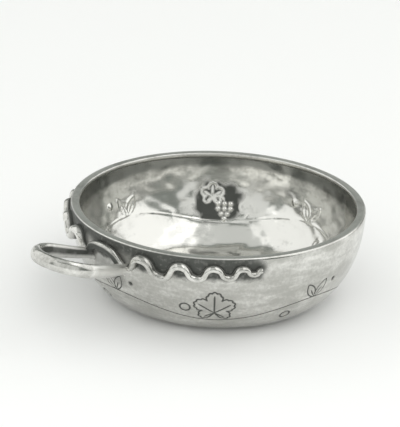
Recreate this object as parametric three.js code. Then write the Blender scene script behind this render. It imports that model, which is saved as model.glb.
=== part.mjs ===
// A hand-raised silver wine taster: a shallow bowl on a flat base, a rim wire on the bowl's edge,
// a ring handle for one finger, an arch wire over the ring's ends, and two wavy wires that run
// along the wall from the ring's sides.
// Millimetres, +Z up. The origin is the middle of the underside and the ring points along -X.
import * as THREE from "three";

// Bowl
const RIM_DIAMETER = 85;
const HEIGHT = 27.6;
const BASE_DIAMETER = 47.8;
const WALL = 1.2;
const WALL_ROUNDING = 2.06; // exponent of the wall's outline, where 2 is a quarter of an ellipse

// Rim wire, a strip with a flat top and a bevel inside that runs down to the wall
const RIM_WIDTH = 2.6;
const RIM_HEIGHT = 2;
const RIM_LIP = 0.8; // height of the inner face above the bevel
const RIM_EDGE = 0.25; // broken corners of the flat top

// Ring handle, a band bent into a finger ring that slopes up from the wall, with both ends cut to the wall
const FINGER_HOLE = 16.8;
const RING_THICKNESS = 2.8;
const RING_DEPTH = 4;
const RING_END_DEPTH = 3.2; // at the wall, where the band is drawn in
const RING_SLOPE = 16.2; // degrees above level
const RING_DROP = 8.1; // below the rim, where the ring meets the wall
const RING_SPREAD = 14.4; // between the two places where it meets the wall
const RING_NECK = 4.1; // from the wall to the round of the ring, along its slope
const RING_ROUND = 106; // degrees from the tip to where the round runs out into the neck
const RING_TAPER = 0.5; // where the band starts to narrow, as a share of the way from the tip to the wall

// Arch wire, which lies on the wall and spans from one end of the ring to the other
const ARCH_WIRE = 2.4;
const ARCH_DROP = 2.9; // below the rim, at the crown of the arch
const ARCH_SEAT = 65; // degrees up from the hole side of the ring's ends to the arch's ends on them
const ARCH_SHOULDER = 0.66; // place of the shoulder, as a share of the way from the crown to the wire's end
const ARCH_SHOULDER_FALL = 0.28; // how far it has come down there, as a share of the arch's height

// Wavy wires, each from the ring's side to a cut tail. Lengths run along the wall.
const START_WIDTH = 1.6; // beside the ring
const START_PROUD = 1.3;
const WAVE_WIDTH = 2.4; // at the first crest
const WAVE_PROUD = 2.4;
const TAIL_WIDTH = 1.6; // at the cut end
const TAIL_PROUD = 1.5;
const WAVE_CREST_DROP = 2.7; // below the rim, at every crest
const WAVE_SWING = 4.1; // from the crests down to the first trough
const TROUGH_SHARES = [1, 0.98, 0.78, 0.63, 0.42]; // how that swing fades, trough by trough
const WAVE_LENGTH = 10;
const WAVE_ROUNDNESS = 0.5; // 0 is a plain wave, and 1 has straight crests and troughs
const STEP_SHARES = [0.45, 0.68, 0.48, 0.5, 0.44, 0.44, 0.35, 0.33]; // wave lengths from turn to turn
const TAIL_LENGTH = 2.1; // past the last trough
const TAIL_DROP = 3.4; // below the rim, at the cut end

// Room for the solder between two pieces
const SOLDER_GAP = 0.3;

// Fineness of the faceted surfaces
const ROUND_FACETS = 72;
const WALL_FACETS = 11;
const RING_FACETS = 48;
const RING_ROUND_POINTS = 5;
const ARCH_FACETS = 20;
const WIRE_SIDES = 10;
const WAVE_TURN_FACETS = 7;
const WAVE_DOME_FACETS = 6;
const WAVE_SIGHT = 0.05; // turns looked ahead and back to find a wavy wire's direction

// Finish
const SILVER = 0xc8c9c4;
const HAMMERED_ROUGHNESS = 0.34;
const RIM_ROUGHNESS = 0.38;
const RING_ROUGHNESS = 0.22;
const WAVE_ROUGHNESS = 0.26;

const rimRadius = RIM_DIAMETER / 2;
const baseRadius = BASE_DIAMETER / 2;
const bowlEdgeDrop = RIM_HEIGHT + SOLDER_GAP;
const ringSlope = THREE.MathUtils.degToRad(RING_SLOPE);
const archSeat = THREE.MathUtils.degToRad(ARCH_SEAT);
const { lerp } = THREE.MathUtils;

// Radius of the outer wall at a distance below the rim.
function wallRadius(drop) {
  const share = Math.pow(drop / HEIGHT, WALL_ROUNDING);
  return baseRadius + (rimRadius - baseRadius) * Math.pow(1 - share, 1 / WALL_ROUNDING);
}

// How fast that radius changes with the distance below the rim.
function wallSlope(drop) {
  const depth = drop / HEIGHT;
  const share = Math.pow(depth, WALL_ROUNDING);
  const bend = Math.pow(depth, WALL_ROUNDING - 1) * Math.pow(1 - share, 1 / WALL_ROUNDING - 1);
  return (-(rimRadius - baseRadius) / HEIGHT) * bend;
}

// A point that stands proud of the outer wall, and the wall's outward direction there.
// The angle is measured from the ring, positive towards -Y.
function placeOnWall(angle, drop, proud) {
  const radial = new THREE.Vector3(-Math.cos(angle), -Math.sin(angle), 0);
  const out = radial.clone().add(new THREE.Vector3(0, 0, wallSlope(drop))).normalize();
  const point = radial.clone().multiplyScalar(wallRadius(drop));
  point.z = HEIGHT - drop;
  point.addScaledVector(out, proud);
  return { point, out };
}

// Turns an outline of [radius, height] points about the upright axis.
function turned(outline) {
  const points = outline.map(([radius, height]) => new THREE.Vector2(radius, height));
  return new THREE.LatheGeometry(points, ROUND_FACETS).rotateX(Math.PI / 2);
}

// One side of the bowl's wall, from the flat base up to the bowl's edge.
// The inset is 0 on the outside and the wall's thickness on the inside.
function wallOutline(inset) {
  const rise = HEIGHT - inset;
  const reach = rimRadius - inset - baseRadius;
  const power = 2 / WALL_ROUNDING;
  const edgeAngle = Math.asin(Math.pow(bowlEdgeDrop / rise, 1 / power));
  const outline = [];
  for (let i = 0; i <= WALL_FACETS; i++) {
    const angle = lerp(Math.PI / 2, edgeAngle, i / WALL_FACETS);
    const radius = baseRadius + reach * Math.pow(Math.max(Math.cos(angle), 0), power);
    outline.push([radius, HEIGHT - rise * Math.pow(Math.sin(angle), power)]);
  }
  return outline;
}

function bowlGeometry() {
  const outside = wallOutline(0);
  const inside = wallOutline(WALL).reverse();
  return turned([[0, 0], ...outside, ...inside, [0, WALL]]);
}

function rimGeometry() {
  const bottom = HEIGHT - RIM_HEIGHT;
  const inside = rimRadius - RIM_WIDTH;
  const outline = [
    [rimRadius, bottom],
    [rimRadius, HEIGHT - RIM_EDGE],
    [rimRadius - RIM_EDGE, HEIGHT],
    [inside + RIM_EDGE, HEIGHT],
    [inside, HEIGHT - RIM_EDGE],
    [inside, HEIGHT - RIM_LIP],
    [wallRadius(bowlEdgeDrop) - WALL, bottom],
  ];
  return turned([...outline, outline[0]]);
}

// A wire swept through stations. Each has a centre, two cross directions, and a section of
// [across, out] points that runs counter-clockwise as the wire comes towards the eye.
function sweptWire(stations) {
  const sides = stations[0].section.length;
  const positions = [];
  for (const { centre, across, out, section } of stations) {
    for (const [a, o] of section) {
      const corner = centre.clone().addScaledVector(across, a).addScaledVector(out, o);
      positions.push(corner.x, corner.y, corner.z);
    }
  }
  const indices = [];
  const end = (stations.length - 1) * sides;
  for (let here = 0; here < end; here += sides) {
    const next = here + sides;
    for (let j = 0; j < sides; j++) {
      const k = (j + 1) % sides;
      indices.push(here + j, here + k, next + k, here + j, next + k, next + j);
    }
  }
  for (let j = 1; j < sides - 1; j++) {
    indices.push(0, j + 1, j, end, end + j, end + j + 1);
  }
  const geometry = new THREE.BufferGeometry();
  geometry.setAttribute("position", new THREE.Float32BufferAttribute(positions, 3));
  geometry.setIndex(indices);
  geometry.computeVertexNormals();
  return geometry;
}

// A smooth centre line, mirrored in the XZ plane, through its middle and points from there to one end.
function mirroredPath(middle, half) {
  const otherHalf = half.map((p) => new THREE.Vector3(p.x, -p.y, p.z)).reverse();
  return new THREE.CatmullRomCurve3([...otherHalf, middle, ...half], false, "centripetal");
}

// Where the ring's -Y end stands on the wall.
function ringFoot() {
  return placeOnWall(Math.asin(RING_SPREAD / 2 / wallRadius(RING_DROP)), RING_DROP, SOLDER_GAP);
}

// The centre line of the ring, from its +Y end round the tip to its -Y end.
function ringPath() {
  const radius = (FINGER_HOLE + RING_THICKNESS) / 2;
  const foot = ringFoot().point;
  const onRing = (turn) => {
    const along = RING_NECK + radius * (1 + Math.cos(turn));
    const reach = foot.x - along * Math.cos(ringSlope);
    return new THREE.Vector3(reach, -radius * Math.sin(turn), foot.z + along * Math.sin(ringSlope));
  };
  const half = [];
  for (let i = 1; i <= RING_ROUND_POINTS; i++) {
    half.push(onRing(THREE.MathUtils.degToRad((RING_ROUND * i) / RING_ROUND_POINTS)));
  }
  return mirroredPath(onRing(0), [...half, foot]);
}

// The centre line of the arch wire, whose ends sit on the ring's ends.
function archPath() {
  const proud = SOLDER_GAP + ARCH_WIRE / 2;
  const ringRise = ARCH_WIRE * (Math.tan(ringSlope) - wallSlope(RING_DROP));
  const reach = RING_SPREAD / 2 - (RING_THICKNESS / 2 + SOLDER_GAP) * Math.cos(archSeat);
  const endDrop = RING_DROP - ringRise - (RING_END_DEPTH / 2 + SOLDER_GAP) * Math.sin(archSeat);
  const endAngle = Math.asin(reach / wallRadius(endDrop));
  const shoulderDrop = lerp(ARCH_DROP, endDrop, ARCH_SHOULDER_FALL);
  const shoulder = placeOnWall(endAngle * ARCH_SHOULDER, shoulderDrop, proud).point;
  const crown = placeOnWall(0, ARCH_DROP, proud).point;
  return mirroredPath(crown, [shoulder, placeOnWall(endAngle, endDrop, proud).point]);
}

// A station at a share of a centre line, with an oval section whose depth runs along the ring's axis.
function ovalStation(path, share, width, depth) {
  const tangent = path.getTangentAt(share);
  const ringNormal = new THREE.Vector3(Math.sin(ringSlope), 0, Math.cos(ringSlope));
  const out = ringNormal.addScaledVector(tangent, -ringNormal.dot(tangent)).normalize();
  const across = new THREE.Vector3().crossVectors(out, tangent);
  const section = [];
  for (let j = 0; j < WIRE_SIDES; j++) {
    const turn = (2 * Math.PI * j) / WIRE_SIDES;
    section.push([(width / 2) * Math.cos(turn), (depth / 2) * Math.sin(turn)]);
  }
  return { centre: path.getPointAt(share), tangent, across, out, section };
}

// Leans an end station along its wire until its section lies along the wall.
function cutToWall(station, wallOut) {
  for (const direction of [station.across, station.out]) {
    const lean = direction.dot(wallOut) / station.tangent.dot(wallOut);
    direction.addScaledVector(station.tangent, -lean);
  }
  return station;
}

function ringGeometry() {
  const path = ringPath();
  const station = (share) => {
    const narrowing = THREE.MathUtils.smoothstep(Math.abs(2 * share - 1), RING_TAPER, 1);
    return ovalStation(path, share, RING_THICKNESS, lerp(RING_DEPTH, RING_END_DEPTH, narrowing));
  };
  const firstSquare = RING_DEPTH / 2 / path.getLength();
  const wallOut = ringFoot().out;
  const otherWallOut = new THREE.Vector3(wallOut.x, -wallOut.y, wallOut.z);
  const stations = [cutToWall(station(0), otherWallOut)];
  for (let i = 0; i <= RING_FACETS; i++) {
    stations.push(station(lerp(firstSquare, 1 - firstSquare, i / RING_FACETS)));
  }
  stations.push(cutToWall(station(1), wallOut));
  return sweptWire(stations);
}

function archGeometry() {
  const path = archPath();
  const stations = [];
  for (let i = 0; i <= ARCH_FACETS; i++) {
    stations.push(ovalStation(path, i / ARCH_FACETS, ARCH_WIRE, ARCH_WIRE));
  }
  return sweptWire(stations);
}

// The turning points of a wavy wire, as [distance along the wall from the ring, drop below the rim].
function waveTurns() {
  const besideRing = RING_SPREAD / 2 + RING_THICKNESS / 2 + SOLDER_GAP;
  const troughDrops = TROUGH_SHARES.map((share) => WAVE_CREST_DROP + WAVE_SWING * share);
  const turns = [[besideRing, troughDrops[0]]];
  STEP_SHARES.forEach((share, i) => {
    const upwards = i % 2 === 0;
    const drop = upwards ? WAVE_CREST_DROP : troughDrops[(i + 1) / 2];
    turns.push([turns[i][0] + WAVE_LENGTH * share, drop]);
  });
  const lastTurn = turns[turns.length - 1];
  turns.push([lastTurn[0] + TAIL_LENGTH, TAIL_DROP]);
  return turns;
}

// A place on the back of a wavy wire, which runs flat at its turning points and steep between them.
function waveBack(turns, position, side) {
  const i = Math.min(Math.floor(position), turns.length - 2);
  const share = position - i;
  const run = share + (WAVE_ROUNDNESS * Math.sin(2 * Math.PI * share)) / (2 * Math.PI);
  const along = lerp(turns[i][0], turns[i + 1][0], run);
  const ease = (1 - Math.cos(Math.PI * share)) / 2;
  const drop = lerp(turns[i][1], turns[i + 1][1], ease);
  return placeOnWall((side * along) / rimRadius, drop, SOLDER_GAP);
}

// A wavy wire's size at a turning point or between two: it swells up to the first crest, then thins.
function swellAlong(start, full, tail, position, lastPosition) {
  if (position < 1) {
    return lerp(start, full, position);
  }
  return lerp(full, tail, (position - 1) / (lastPosition - 1));
}

// The flat-backed, domed section of a wavy wire.
function domedSection(width, proud) {
  const section = [];
  for (let j = 0; j <= WAVE_DOME_FACETS; j++) {
    const turn = (Math.PI * j) / WAVE_DOME_FACETS;
    section.push([(width / 2) * Math.cos(turn), proud * Math.sin(turn)]);
  }
  return section;
}

// A wavy wire on one side of the ring: 1 is towards -Y and -1 towards +Y.
function waveGeometry(side) {
  const turns = waveTurns();
  const lastPosition = turns.length - 1;
  const spans = lastPosition * WAVE_TURN_FACETS;
  const stations = [];
  for (let i = 0; i <= spans; i++) {
    const position = i / WAVE_TURN_FACETS;
    const { point, out } = waveBack(turns, position, side);
    const behind = waveBack(turns, Math.max(position - WAVE_SIGHT, 0), side).point;
    const ahead = waveBack(turns, Math.min(position + WAVE_SIGHT, lastPosition), side).point;
    const tangent = ahead.sub(behind).normalize();
    const across = new THREE.Vector3().crossVectors(out, tangent).normalize();
    const width = swellAlong(START_WIDTH, WAVE_WIDTH, TAIL_WIDTH, position, lastPosition);
    const proud = swellAlong(START_PROUD, WAVE_PROUD, TAIL_PROUD, position, lastPosition);
    stations.push({ centre: point, across, out, section: domedSection(width, proud) });
  }
  return sweptWire(stations);
}

function piece(name, geometry, roughness) {
  const material = new THREE.MeshStandardMaterial({ color: SILVER, roughness, metalness: 1 });
  const mesh = new THREE.Mesh(geometry, material);
  mesh.name = name;
  return mesh;
}

const taster = new THREE.Group();
taster.name = "wine_taster";
taster.add(
  piece("bowl", bowlGeometry(), HAMMERED_ROUGHNESS),
  piece("rim_wire", rimGeometry(), RIM_ROUGHNESS),
  piece("ring_handle", ringGeometry(), RING_ROUGHNESS),
  piece("arch_wire", archGeometry(), RING_ROUGHNESS),
  piece("wave_wire_front", waveGeometry(1), WAVE_ROUGHNESS),
  piece("wave_wire_back", waveGeometry(-1), WAVE_ROUGHNESS),
);

export default taster;
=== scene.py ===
"""Dresses the solids of a hand-raised silver wine taster.

The bowl gets its hammered sheet, with chased lines outside and their raised backs inside. The rim wire gets
its worn corners, the ring, the arch and the wavy wires their true sections and their solder, and the stage
its floor, light and camera. Metres, +Z up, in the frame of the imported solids: the ring points along -X.
"""

import math

import bmesh
import bpy
import numpy as np
from mathutils import Matrix, Vector, geometry, kdtree, noise


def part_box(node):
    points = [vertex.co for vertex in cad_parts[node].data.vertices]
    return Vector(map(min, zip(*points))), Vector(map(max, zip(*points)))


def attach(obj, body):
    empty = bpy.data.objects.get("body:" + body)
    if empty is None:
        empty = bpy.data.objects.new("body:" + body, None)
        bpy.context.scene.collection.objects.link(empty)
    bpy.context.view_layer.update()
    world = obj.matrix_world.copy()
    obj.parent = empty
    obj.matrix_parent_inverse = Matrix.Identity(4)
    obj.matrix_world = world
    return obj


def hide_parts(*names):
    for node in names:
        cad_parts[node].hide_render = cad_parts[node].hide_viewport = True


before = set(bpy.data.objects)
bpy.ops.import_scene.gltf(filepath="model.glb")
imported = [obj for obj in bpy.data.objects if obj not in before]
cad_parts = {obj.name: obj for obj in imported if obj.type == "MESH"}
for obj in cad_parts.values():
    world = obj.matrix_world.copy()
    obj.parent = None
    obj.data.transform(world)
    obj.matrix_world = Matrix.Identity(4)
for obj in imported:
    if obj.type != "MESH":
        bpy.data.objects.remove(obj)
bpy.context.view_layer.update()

bl_info = {
    "name": "Silver Wine Taster",
    "version": (1, 0, 0),
    "blender": (4, 5, 0),
    "location": "View3D > Sidebar > Wine Taster",
    "description": "Dresses the solids of a hand-raised silver wine taster",
    "category": "Add Mesh",
}

MM = 0.001
TINY = 0.001 * MM
BODY = "root"
SHARP_CORNER = math.radians(55)

# Places that the solids give
RIM_LOW, RIM_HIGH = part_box("rim_wire")
RIM_RADIUS = RIM_HIGH.x
RIM_FOOT = RIM_LOW.z
HEIGHT = RIM_HIGH.z


def number(name, description, default, **kind):
    """A number that a user may change."""
    return bpy.props.FloatProperty(name=name, description=description, default=default, **kind)


def length(name, description, millimetres):
    """A length, written in millimetres and kept in metres."""
    return number(name, description, millimetres * MM, precision=5, unit="LENGTH", subtype="DISTANCE")


def angle(name, description, degrees):
    """An angle, written in degrees and kept in radians."""
    return number(name, description, math.radians(degrees), unit="ROTATION", subtype="ANGLE")


def share(name, description, default):
    """A number from 0 to 1."""
    return number(name, description, default, min=0, max=1, subtype="FACTOR")


def colour(name, description, default):
    """A colour that a user may change."""
    return bpy.props.FloatVectorProperty(
        name=name, description=description, default=default, size=3, min=0, max=1, subtype="COLOR"
    )


class BowlSizes(bpy.types.PropertyGroup):
    """Sizes of the raised sheet and of what is worked into it."""

    base_diameter: length("Base", "Diameter of the flat underside", 47.8)
    wall: length("Wall", "Thickness of the sheet", 1.2)
    rounding: number("Rounding", "Exponent of the wall's outline, where 2 is a quarter ellipse", 2.06)
    line_width: length("Chased Line", "Width of a chased line", 0.7)
    line_depth: length("Line Depth", "Depth of a chased line outside", 0.22)
    ridge_height: length("Ridge", "Height of a chased line's back inside", 0.11)
    boss_diameter: length("Boss", "Width of a punched dot", 1.9)
    boss_height: length("Boss Height", "Depth of a punched dot outside, and its height inside", 0.5)
    swell: length("Swell", "How far the sheet swells in and out between courses of hammering", 0.2)
    ripple: length("Ripple", "Height of the ripples from one hammer blow to the next", 0.12)
    dent: length("Hammer Dents", "Depth of the dents that the hammer left inside", 0.28)


class RimSizes(bpy.types.PropertyGroup):
    """Sizes of the wire that thickens the bowl's edge."""

    width: length("Width", "Width of the flat top", 2.6)
    lip: length("Lip", "Height of the inner face above its bevel", 0.8)
    inner_edge: length("Inner Edge", "Rounding of the corner towards the bowl", 0.4)
    outer_edge: length("Outer Edge", "Rounding of the corner that hands and lips wear", 0.75)


class RingSizes(bpy.types.PropertyGroup):
    """Sizes of the finger ring and of the arch over its ends."""

    finger_hole: length("Finger Hole", "Diameter of the hole", 16.8)
    thickness: length("Thickness", "Across the ring's band", 2.8)
    depth: length("Depth", "Along the ring's axis", 4)
    end_depth: length("End Depth", "Along the ring's axis, where the band meets the wall", 3.2)
    slope: angle("Slope", "How far the ring stands above level", 16.2)
    drop: length("Drop", "Below the rim, where the ring meets the wall", 8.1)
    spread: length("Spread", "Between the two places where the ring meets the wall", 14.4)
    neck: length("Neck", "From the wall to the round of the ring, along its slope", 4.1)
    arch_wire: length("Arch Wire", "Thickness of the arch", 2.4)
    arch_drop: length("Arch Drop", "Below the rim, at the crown of the arch", 2.9)
    bead: length("Solder Bead", "Thickness of the solder round the ring's ends", 0.45)


class WaveSizes(bpy.types.PropertyGroup):
    """Sizes of the two wavy wires."""

    start_width: length("Start Width", "Across the wire beside the ring", 1.6)
    start_proud: length("Start Proud", "How far the wire stands off the wall beside the ring", 1.6)
    width: length("Width", "Across the wire at its first crest", 2.4)
    proud: length("Proud", "How far the first crest stands off the wall", 2.7)
    tail_width: length("Tail Width", "Across the wire at its tail", 1.6)
    tail_proud: length("Tail Proud", "How far the tail stands off the wall", 1.8)
    crest_drop: length("Crest Drop", "Below the rim, at every crest", 2.7)
    swing: length("Swing", "From the crests down to the first trough", 4.1)
    wave_length: length("Wave Length", "Along the wall, before the steps' shares", 10)
    tail_length: length("Tail Length", "Past the last trough", 2.1)
    tail_drop: length("Tail Drop", "Below the rim, at the cut end", 3.4)


class SilverLook(bpy.types.PropertyGroup):
    """Colours and polish of the silver."""

    silver: colour("Silver", "Clean metal", (0.85, 0.845, 0.815))
    tarnish: colour("Tarnish", "Metal under a thin old film", (0.475, 0.472, 0.445))
    # Deep tarnish also colours the painted dark reflection under the rim inside
    deep_tarnish: colour("Deep Tarnish", "Metal under a thick old film", (0.23, 0.235, 0.222))
    # This colour is also what the painted shade on the wires and inside the ring darkens towards
    oxide_and_shade: colour("Oxide", "Blackened ground and lines", (0.066, 0.07, 0.063))
    bowl_roughness: share("Bowl Roughness", "Of the hammered sheet", 0.17)
    rim_roughness: share("Rim Roughness", "Of the rim wire", 0.32)
    ring_roughness: share("Ring Roughness", "Of the ring and the arch", 0.2)
    wave_roughness: share("Wave Roughness", "Of the wavy wires", 0.13)


class StageLook(bpy.types.PropertyGroup):
    """The photograph's view, its floor and its light."""

    azimuth: angle("Azimuth", "The camera's bearing, where 0 looks along +Y", -42.9)
    elevation: angle("Elevation", "How far the camera looks down", 21.56)
    roll: angle("Roll", "The camera's lean", 2.15)
    distance: length("Distance", "From the camera to the middle of the rim", 800)
    lens: number("Lens", "Focal length in millimetres", 234.6)
    floor: colour("Floor", "The pale floor", (0.92, 0.925, 0.925))
    walls: colour("Room", "The dim room above the floor", (0.205, 0.223, 0.205))
    light: colour("Light", "Colour of every lamp", (1, 0.988, 0.978))


# The bowl's wall


def level_radius(points):
    """How far points lie from the upright axis."""
    return np.hypot(points[:, 0], points[:, 1])


class WallSide:
    """One side of the bowl's wall: a quarter of a rounded ellipse from the base up to the rim."""

    def __init__(self, bowl, inset):
        self.base = bowl.base_diameter / 2
        self.reach = RIM_RADIUS - inset - self.base
        self.rise = HEIGHT - inset
        self.bend = bowl.rounding

    def radius(self, drop):
        """Radius at a distance below the rim."""
        return self.base + self.reach * (1 - (drop / self.rise) ** self.bend) ** (1 / self.bend)

    def outline(self, steps, top):
        """Radii and heights from the base up to a height below the rim."""
        highest = math.asin(((HEIGHT - top) / self.rise) ** (self.bend / 2))
        turns = np.linspace(math.pi / 2, highest, steps + 1)
        across = np.cos(turns).clip(0) ** (2 / self.bend)
        down = np.sin(turns) ** (2 / self.bend)
        return self.base + self.reach * across, HEIGHT - self.rise * down

    def shares(self, points):
        """Places across and down the wall, as shares of its reach and rise."""
        across = (level_radius(points) - self.base) / self.reach
        return across.clip(0), (HEIGHT - points[:, 2]) / self.rise

    def turned(self, points, levels, heights):
        """Level lengths turned to the bearings of the points, with their heights."""
        grow = levels / np.maximum(level_radius(points), TINY)
        return np.column_stack((points[:, 0] * grow, points[:, 1] * grow, heights))

    def settle(self, points):
        """The points moved on to this side, or on to its flat floor."""
        across, down = self.shares(points)
        size = (across**self.bend + down**self.bend) ** (1 / self.bend)
        on_wall = across > 0
        radii = np.where(on_wall, self.base + self.reach * across / size, level_radius(points))
        return self.turned(points, radii, HEIGHT - self.rise * np.where(on_wall, down / size, 1))

    def outward(self, points):
        """Directions that point out of the bowl, at points on this side."""
        across, down = self.shares(points)
        level = across ** (self.bend - 1) / self.reach
        normals = self.turned(points, level, -(down ** (self.bend - 1)) / self.rise)
        return normals / np.linalg.norm(normals, axis=1)[:, None]


class WallMap:
    """The outer wall rolled out: an angle from the ring, towards -Y, and a way down from the rim."""

    STEPS = 600

    def __init__(self, side):
        radii, heights = side.outline(self.STEPS, HEIGHT - TINY)
        self.side = side
        self.radii = radii[::-1]
        self.heights = heights[::-1]
        steps = np.hypot(np.diff(self.radii), np.diff(self.heights))
        self.ways = np.concatenate(([0], np.cumsum(steps)))

    def way_at(self, drop):
        """The way down the wall at a distance below the rim."""
        return float(np.interp(drop, HEIGHT - self.heights, self.ways))

    def place(self, angles, ways):
        """Points on the wall."""
        radii = np.interp(ways, self.ways, self.radii)
        heights = np.interp(ways, self.ways, self.heights)
        return np.column_stack((-radii * np.cos(angles), -radii * np.sin(angles), heights))

    def spot(self, angle_at, drop):
        """One point on the wall, in an array of its own."""
        return self.place(np.array([angle_at]), np.array([self.way_at(drop)]))

    def draw(self, angle_at, way_at, stroke):
        """A flat stroke of (right, up) points drawn on the wall, as seen from outside."""
        ways = way_at - stroke[:, 1]
        radii = np.interp(ways, self.ways, self.radii)
        return self.place(angle_at + stroke[:, 0] / radii, ways)


def on_wall(side, angle_at, drop, proud):
    """A point that stands off the outer wall, and the wall's outward direction there."""
    radius = side.radius(drop)
    foot = np.array([[-radius * math.cos(angle_at), -radius * math.sin(angle_at), HEIGHT - drop]])
    out = side.outward(foot)
    return Vector(foot[0] + out[0] * proud), Vector(out[0])


# Mesh helpers


def finished_piece(name, bm, material, node):
    """Makes an object of the mesh, which stands for the node and rides on the body."""
    bmesh.ops.remove_doubles(bm, verts=bm.verts, dist=TINY)
    bmesh.ops.recalc_face_normals(bm, faces=bm.faces)
    mesh = bpy.data.meshes.new(name)
    bm.to_mesh(mesh)
    bm.free()
    mesh.shade_smooth()
    mesh.set_sharp_from_angle(angle=SHARP_CORNER)
    mesh.materials.append(material)
    piece = bpy.data.objects.new(name, mesh)
    bpy.context.scene.collection.objects.link(piece)
    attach(piece, BODY)
    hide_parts(node)


def drawn(outline, closed):
    """A mesh with an outline of (radius, height) points in it, and those points."""
    bm = bmesh.new()
    verts = [bm.verts.new((-radius, 0, height)) for radius, height in outline]
    ends = verts[1:] + verts[:1] if closed else verts[1:]
    for pair in zip(verts, ends):
        bm.edges.new(pair)
    return bm, verts


def spin(bm, steps):
    """Turns an outline about the upright axis."""
    outline = bm.verts[:] + bm.edges[:]
    bmesh.ops.spin(bm, geom=outline, axis=(0, 0, 1), angle=math.tau, steps=steps, use_merge=True)
    bmesh.ops.remove_doubles(bm, verts=bm.verts, dist=TINY)


def swept(sides, stations, dark):
    """A wire: each station places a unit circle's (x, y), and dark says how black it is there."""
    bm = bmesh.new()
    # Holds how dark the wire is painted: painted shade
    layer = bm.verts.layers.float.new("oxide_and_shade")
    loops = []
    for station in stations:
        circle = bmesh.ops.create_circle(bm, segments=sides, radius=1)["verts"]
        loops.append(list({edge for vert in circle for edge in vert.link_edges}))
        for vert in circle:
            x, y, _ = vert.co
            vert[layer] = dark(x, y)
            vert.co = station(x, y)
    for loop, after in zip(loops, loops[1:]):
        bmesh.ops.bridge_loops(bm, edges=loop + after)
    for end in (loops[0], loops[-1]):
        bmesh.ops.edgeloop_fill(bm, edges=end)
    bmesh.ops.recalc_face_normals(bm, faces=bm.faces)
    return bm


def wobble(bm, size, depth, amount=lambda point: 1):
    """Moves the surface in and out by a share at each point, as hand work leaves it."""
    bm.normal_update()
    moves = [vert.normal * (noise.noise(vert.co / size) * depth * amount(vert.co)) for vert in bm.verts]
    for vert, move in zip(bm.verts, moves):
        vert.co += move


def ways_along(path):
    """How far along a path each of its points lies."""
    return np.concatenate(([0], np.cumsum(np.linalg.norm(np.diff(path, axis=0), axis=1))))


def at_ways(path, runs):
    """Points at distances along a path."""
    ways = ways_along(path)
    return np.column_stack([np.interp(runs, ways, path[:, axis]) for axis in range(3)])


# Chased ornament: strokes are arrays of (right, up) points in metres, with these counts of points
CIRCLE_POINTS = 28
LEAF_POINTS = 241
VEIN_POINTS = 12
BUD_POINTS = 40
STEM_POINTS = 720


def circle_stroke(radius):
    """A closed ring."""
    turns = np.linspace(0, math.tau, CIRCLE_POINTS)
    return np.column_stack((radius * np.cos(turns), radius * np.sin(turns)))


# The vine leaf's parts, as shares of its size
LOBES = 5
LEAF_HEART = 0.3
LEAF_LOBE = 0.17
LEAF_TOOTH = 0.035
LEAF_NOTCH = 0.55
NOTCH_TURN = 0.4
VEIN_TIP = 0.4
VEIN_FOOT = 0.16
BLUNTNESS = 0.8


def leaf_strokes(size):
    """A lobed vine leaf with its veins. The stalk comes in from below."""
    turns = np.linspace(-math.pi, math.pi, LEAF_POINTS)
    lobes = np.abs(np.cos(LOBES / 2 * turns)) ** BLUNTNESS
    teeth = np.abs(np.cos(LOBES**2 / 2 * turns))
    notch = np.exp(-(((math.pi - np.abs(turns)) / NOTCH_TURN) ** 2))
    reach = size * (LEAF_HEART + LEAF_LOBE * lobes + LEAF_TOOTH * teeth) * (1 - LEAF_NOTCH * notch)
    strokes = [np.column_stack((reach * np.sin(turns), reach * np.cos(turns)))]
    stalk = np.array([0, -VEIN_FOOT * size])
    for lobe in range(LOBES):
        turn = (lobe - LOBES // 2) * math.tau / LOBES
        tip = VEIN_TIP * size * np.array([math.sin(turn), math.cos(turn)])
        strokes.append(np.linspace(stalk, tip, VEIN_POINTS))
    return strokes


# The buds' leans in radians, their half width as a share of their size, and the points with a vein
BUD_LEANS = (-0.6, 0.5)
BUD_HALF = 0.2
BUD_VEIN = slice(4, 24)


def bud_strokes(size):
    """A pair of long buds with a vein each, that spread upwards from the stem."""
    run = np.linspace(0, 1, BUD_POINTS)
    side = BUD_HALF * size * np.sin(math.pi * run) ** BLUNTNESS
    strokes = []
    for lean in BUD_LEANS:
        along = np.array([math.sin(lean), math.cos(lean)])
        across = np.array([math.cos(lean), -math.sin(lean)])
        middle = run[:, None] * size * along
        edges = side[:, None] * across
        strokes.append(np.vstack((middle + edges, (middle - edges)[::-1])))
        strokes.append(middle[BUD_VEIN])
    return strokes


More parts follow.
